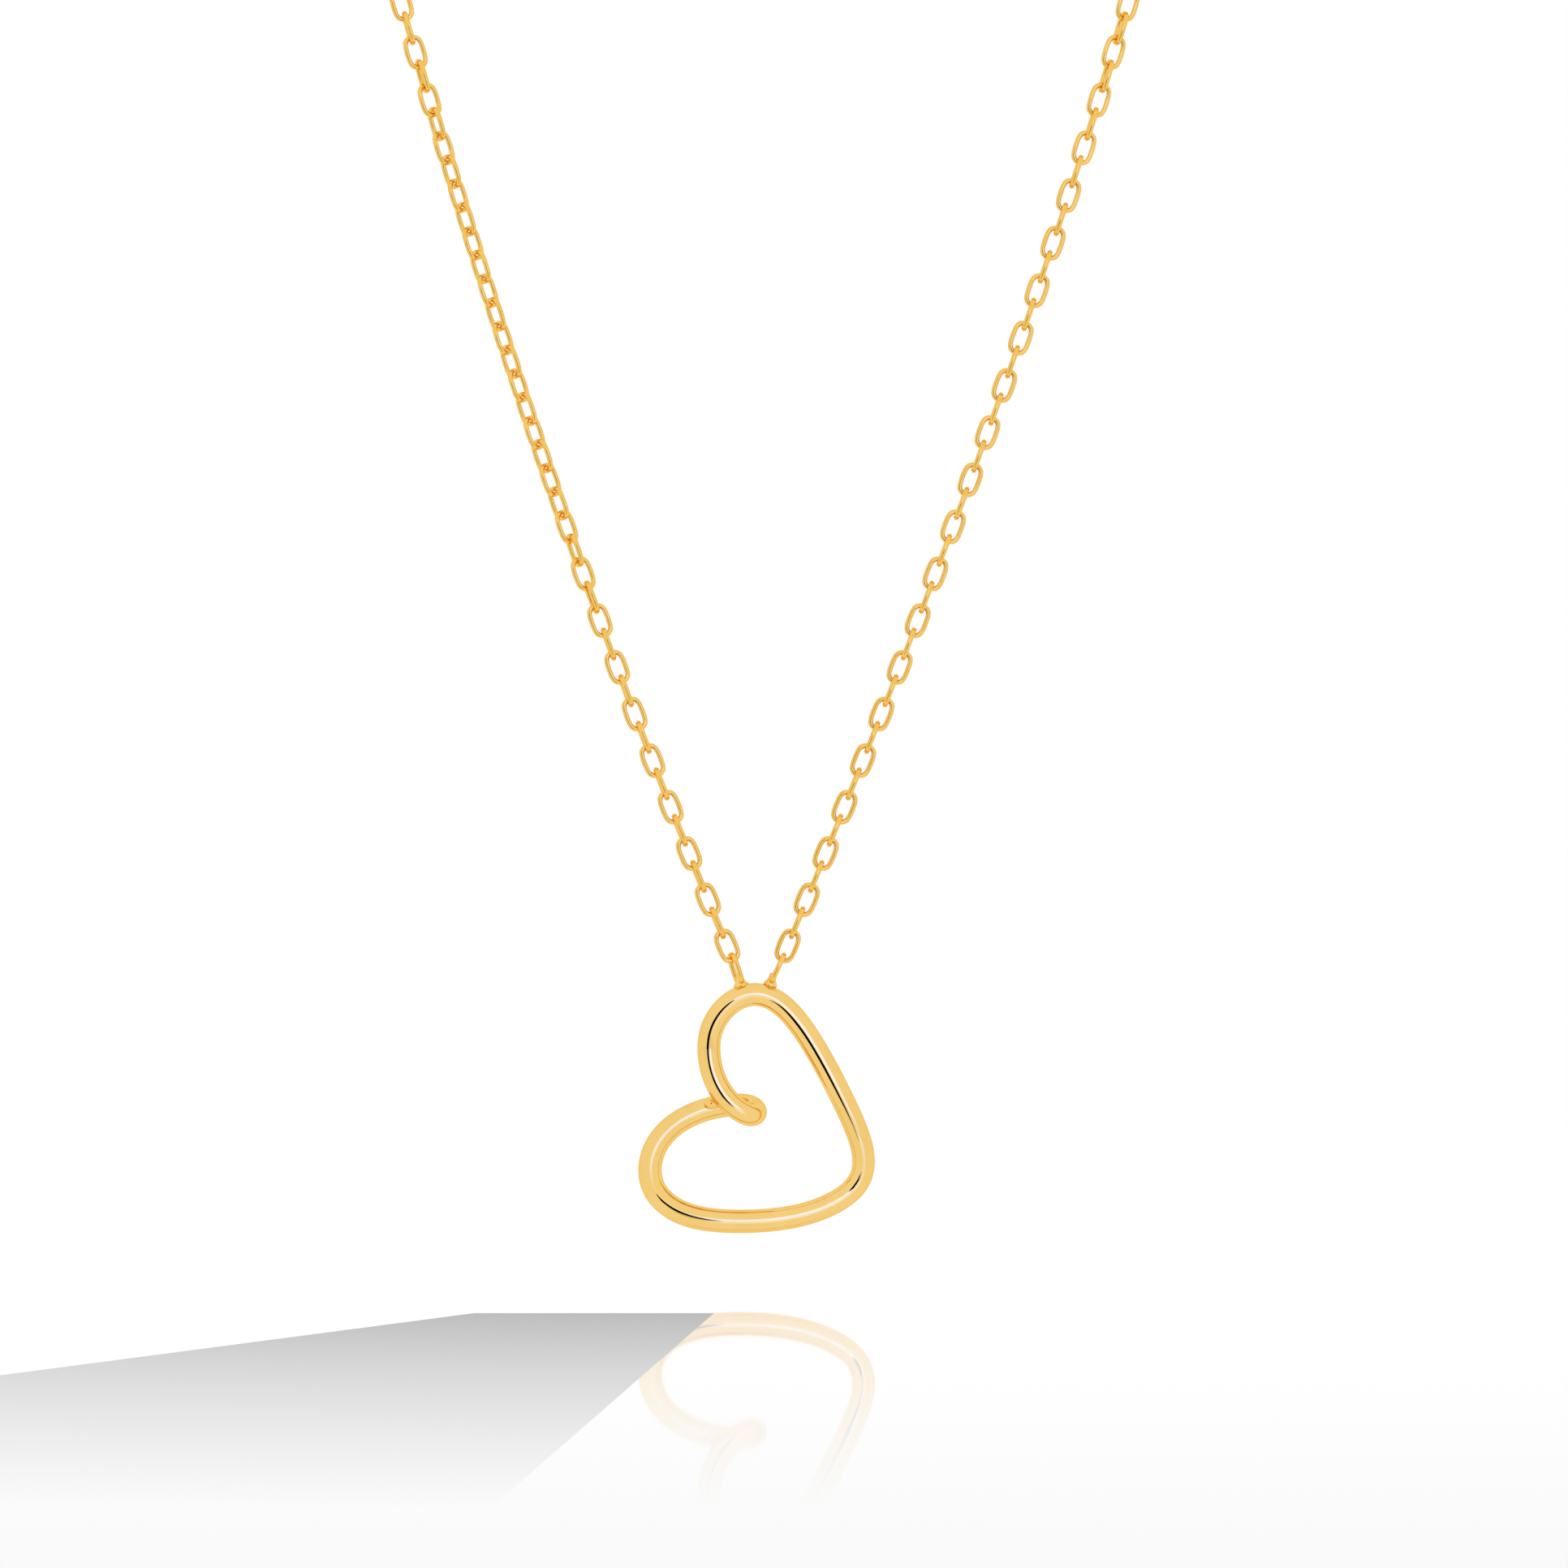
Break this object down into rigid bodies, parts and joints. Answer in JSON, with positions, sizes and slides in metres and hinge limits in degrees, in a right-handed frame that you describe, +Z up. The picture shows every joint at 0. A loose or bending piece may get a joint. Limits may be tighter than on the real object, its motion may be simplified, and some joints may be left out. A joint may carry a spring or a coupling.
{
  "type": "pendant necklace",
  "caption": "Fine cable-chain necklace with a leaning open heart of round polished wire soldered to both chain ends and a bolt ring clasp at the nape.",
  "frame": {"origin": "midway between the two points where the chain leaves the sides of the neck and hangs down", "axes": "+X to the viewer's right of the heart, -Y to the front, +Z up"},
  "size_m": [0.096, 0.0969, 0.1351],
  "materials": {
    "polished_gold": "mirror-polished pale yellow gold plate",
    "chain_gold": "bright yellow gold plate on drawn wire",
    "gold_solder": "bright gold solder, slightly uneven",
    "clasp_gold": "polished yellow gold plate",
    "spring_steel": "bright drawn spring wire"
  },
  "bodies": {
    "neck_run": {"collar_left_front": "chain_gold", "collar_right_front": "chain_gold"},
    "nape_run": {"collar_left_rear": "chain_gold", "collar_right_rear": "chain_gold", "jump_ring": "clasp_gold", "catch_ring": "clasp_gold"},
    "clasp": {"bolt_ring_body": "clasp_gold", "bolt_ring_eye": "clasp_gold", "bolt_spring": "spring_steel"},
    "clasp_bolt": {"bolt": "clasp_gold", "thumb_lug": "clasp_gold"},
    "tag": {"blank_tag": "clasp_gold"},
    "front_08": {"chain_left_08": "chain_gold", "chain_right_08": "chain_gold"},
    "front_07": {"chain_left_07": "chain_gold", "chain_right_07": "chain_gold"},
    "front_06": {"chain_left_06": "chain_gold", "chain_right_06": "chain_gold"},
    "front_05": {"chain_left_05": "chain_gold", "chain_right_05": "chain_gold"},
    "front_04": {"chain_left_04": "chain_gold", "chain_right_04": "chain_gold"},
    "front_03": {"chain_left_03": "chain_gold", "chain_right_03": "chain_gold"},
    "front_02": {"chain_left_02": "chain_gold", "chain_right_02": "chain_gold"},
    "front_01": {"chain_left_01": "chain_gold", "chain_right_01": "chain_gold"},
    "pendant": {"heart_wire": "polished_gold", "heart_crossing_solder": "gold_solder", "attach_link_left": "chain_gold", "attach_link_right": "chain_gold", "heart_solder_left": "gold_solder", "heart_solder_right": "gold_solder"}
  },
  "joints": [
    {"name": "nape_lift", "type": "hinge", "parent": "neck_run", "child": "nape_run", "pos_m": [0, 0.0538, 0.01844], "axis": [1, 0, 0], "range_deg": [0, 60]},
    {"name": "clasp_turn", "type": "hinge", "parent": "nape_run", "child": "clasp", "pos_m": [0.00114, 0.094, 0.027], "axis": [1, 0, 0], "range_deg": [-25, 25]},
    {"name": "bolt_slide_round", "type": "hinge", "parent": "clasp", "child": "clasp_bolt", "pos_m": [0.00114, 0.094, 0.027], "axis": [0, 1, 0], "range_deg": [0, 56], "stiffness_Nm_per_rad": 0.00002},
    {"name": "tag_swing", "type": "hinge", "parent": "nape_run", "child": "tag", "pos_m": [0.00444, 0.0951, 0.027], "axis": [0.866, -0.5, 0], "range_deg": [0, 60]},
    {"name": "front_swing", "type": "hinge", "parent": "neck_run", "child": "front_08", "pos_m": [0, 0, -0.00015], "axis": [-1, 0, 0], "range_deg": [-20, 80]},
    {"name": "chain_bend_07", "type": "hinge", "parent": "front_08", "child": "front_07", "pos_m": [0, 0, -0.01158], "axis": [-1, 0, 0], "range_deg": [-35, 35]},
    {"name": "chain_bend_06", "type": "hinge", "parent": "front_07", "child": "front_06", "pos_m": [0, 0, -0.02294], "axis": [-1, 0, 0], "range_deg": [-35, 35]},
    {"name": "chain_bend_05", "type": "hinge", "parent": "front_06", "child": "front_05", "pos_m": [0, 0, -0.03423], "axis": [-1, 0, 0], "range_deg": [-35, 35]},
    {"name": "chain_bend_04", "type": "hinge", "parent": "front_05", "child": "front_04", "pos_m": [0, 0, -0.04544], "axis": [-1, 0, 0], "range_deg": [-35, 35]},
    {"name": "chain_bend_03", "type": "hinge", "parent": "front_04", "child": "front_03", "pos_m": [0, 0, -0.05657], "axis": [-1, 0, 0], "range_deg": [-35, 35]},
    {"name": "chain_bend_02", "type": "hinge", "parent": "front_03", "child": "front_02", "pos_m": [0, 0, -0.06762], "axis": [-1, 0, 0], "range_deg": [-35, 35]},
    {"name": "chain_bend_01", "type": "hinge", "parent": "front_02", "child": "front_01", "pos_m": [0, 0, -0.07857], "axis": [-1, 0, 0], "range_deg": [-35, 35]},
    {"name": "pendant_swing", "type": "hinge", "parent": "front_01", "child": "pendant", "pos_m": [0, 0, -0.08943], "axis": [-1, 0, 0], "range_deg": [-60, 60]}
  ]
}
